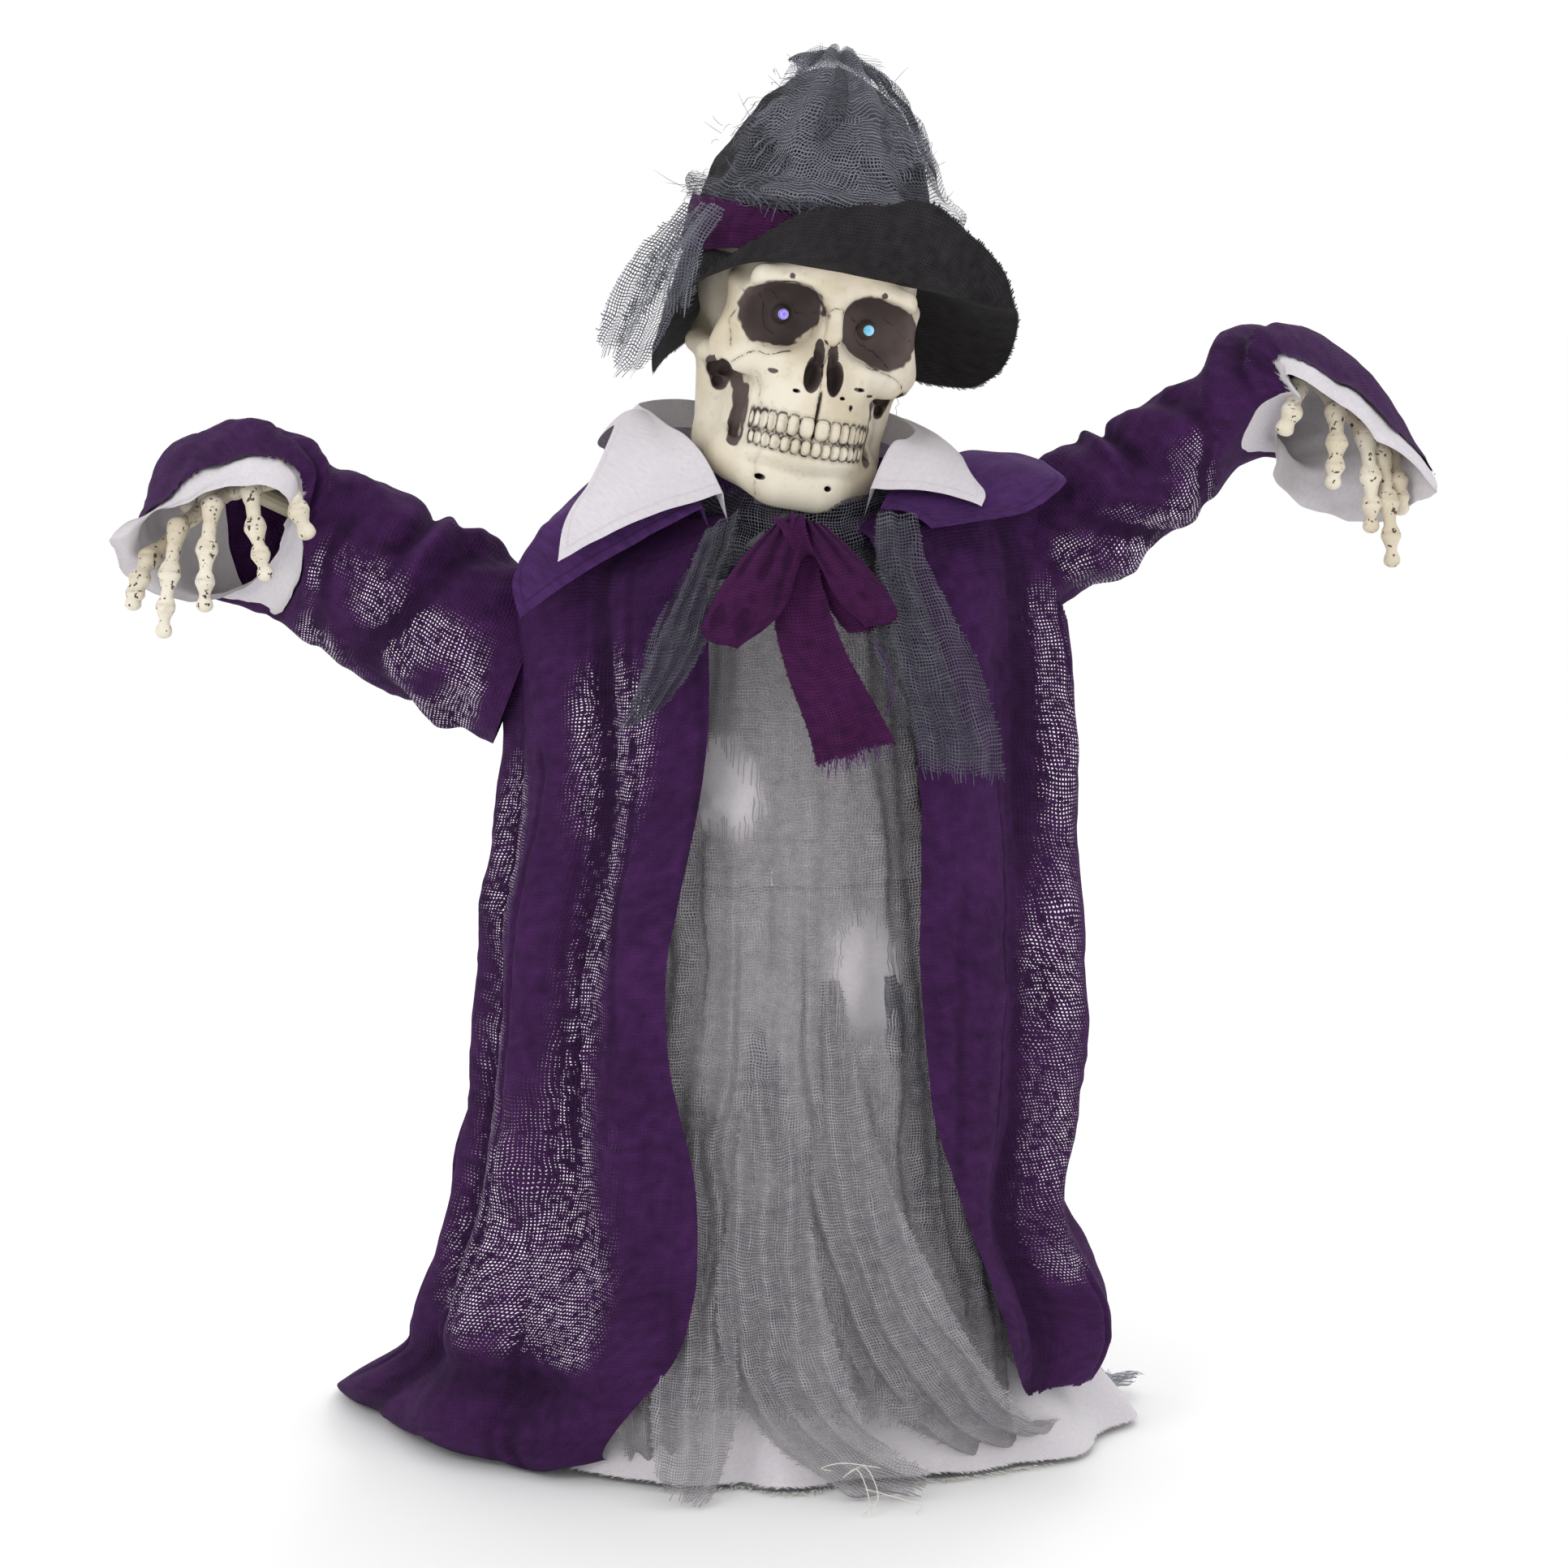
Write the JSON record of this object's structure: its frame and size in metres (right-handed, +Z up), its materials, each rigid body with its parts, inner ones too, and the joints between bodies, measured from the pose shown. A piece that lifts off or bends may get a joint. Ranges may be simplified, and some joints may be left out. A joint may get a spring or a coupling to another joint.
{
  "type": "animated witch figure",
  "caption": "Standing animated witch with a skull face, lit eyes, slouched gauze-wrapped hat, open coat over a gauze dress and raised arms; the shoulders rock and the head tilts and turns.",
  "frame": {"origin": "centre of the base plate's flat underside, on the floor", "axes": "+Z up along the pole, the figure faces -Y, and its left hand is toward +X"},
  "size_m": [0.8622, 0.306, 0.944],
  "materials": {
    "steel": "satin zinc plate",
    "case_plastic": "matt black moulding",
    "gear_plastic": "natural moulding",
    "bone_plastic": "cream moulding, brown wash in the recesses",
    "purple_cloth": "loose plain weave",
    "grey_gauze": "open cheesecloth weave",
    "white_cloth": "plain cotton weave",
    "black_cloth": "coarse stiffened weave",
    "brass": "plain",
    "board": "green circuit board",
    "lamp": "clear lens",
    "battery": "plain wrapped cell",
    "red_plastic": "gloss"
  },
  "bodies": {
    "stand": {"base_plate": "steel", "pole_socket": "case_plastic", "socket_screw_1": "steel", "socket_screw_2": "steel", "socket_screw_3": "steel", "lower_pole": "steel", "upper_pole": "steel", "pole_coupler": "case_plastic", "chest_front_shell": "case_plastic", "chest_back_shell": "case_plastic", "neck_pin": "steel", "shaft_bush_front": "brass", "shaft_bush_back": "brass", "battery_1": "battery", "battery_2": "battery", "battery_3": "battery", "battery_contacts": "brass", "speaker": "case_plastic", "circuit_board": "board", "drive_gearbox": "gear_plastic", "drive_motor": "steel", "coat_front_left": "purple_cloth", "coat_back": "purple_cloth", "coat_front_right": "purple_cloth", "gauze_dress": "grey_gauze", "lining_skirt": "white_cloth"},
    "pinion": {"drive_pinion": "gear_plastic"},
    "shoulders": {"rocker_gear": "gear_plastic", "rocker_shaft": "steel", "shoulder_beam": "gear_plastic", "arm_bolt_left": "steel", "arm_bolt_right": "steel", "coat_yoke": "purple_cloth", "coat_collar": "purple_cloth", "shirt_collar": "white_cloth", "bow": "purple_cloth", "gauze_scarf": "grey_gauze"},
    "left_arm": {"arm_rod_left": "bone_plastic", "hand_left": "bone_plastic", "sleeve_left": "purple_cloth", "cuff_left": "white_cloth"},
    "right_arm": {"arm_rod_right": "bone_plastic", "hand_right": "bone_plastic", "sleeve_right": "purple_cloth", "cuff_right": "white_cloth"},
    "neck": {"neck_gear": "gear_plastic", "neck_yoke": "gear_plastic", "head_gearmotor": "case_plastic"},
    "head": {"skull_front": "bone_plastic", "skull_back": "bone_plastic", "head_turntable": "gear_plastic", "eye_led_left": "lamp", "eye_led_right": "lamp", "hat_brim": "black_cloth", "hat_crown": "black_cloth", "hat_band": "purple_cloth", "hat_gauze": "grey_gauze"},
    "button": {"try_me_button": "red_plastic"},
    "slider": {"mode_slider": "gear_plastic"},
    "door": {"battery_door": "case_plastic"}
  },
  "joints": [
    {"name": "shoulder_rock", "type": "hinge", "parent": "stand", "child": "shoulders", "pos_m": [0, 0, 0.56], "axis": [0, 1, 0], "range_deg": [-1.2, 18.8]},
    {"name": "head_tilt", "type": "hinge", "parent": "stand", "child": "neck", "pos_m": [0, 0, 0.6275], "axis": [0, 1, 0], "range_deg": [-23.5, 1.5]},
    {"name": "pinion_spin", "type": "hinge", "parent": "stand", "child": "pinion", "pos_m": [0, 0, 0.5135], "axis": [0, 1, 0], "range_deg": [-78.4, 5.1]},
    {"name": "head_turn", "type": "hinge", "parent": "neck", "child": "head", "pos_m": [-0.01276, 0, 0.62998], "axis": [0.1908, 0, 0.9816], "range_deg": [-47, 23]},
    {"name": "left_arm_raise", "type": "hinge", "parent": "shoulders", "child": "left_arm", "pos_m": [0.1467, 0, 0.59283], "axis": [0, 1, 0], "range_deg": [-12, 12]},
    {"name": "right_arm_raise", "type": "hinge", "parent": "shoulders", "child": "right_arm", "pos_m": [-0.14976, 0, 0.54693], "axis": [0, 1, 0], "range_deg": [-12, 12]},
    {"name": "try_me_press", "type": "slide", "parent": "stand", "child": "button", "axis": [0, -1, 0], "range_m": [0, 0.002], "stiffness_N_per_m": 600, "springref_m": -0.001},
    {"name": "mode_slide", "type": "slide", "parent": "stand", "child": "slider", "axis": [1, 0, 0], "range_m": [-0.004, 0.004]},
    {"name": "battery_door_slide", "type": "slide", "parent": "stand", "child": "door", "axis": [0, 0, -1], "range_m": [0, 0.06]}
  ],
  "couplings": [
    {"joint": "head_tilt", "follows": "shoulder_rock", "ratio": -1.25},
    {"joint": "pinion_spin", "follows": "shoulder_rock", "ratio": -4.1667}
  ]
}
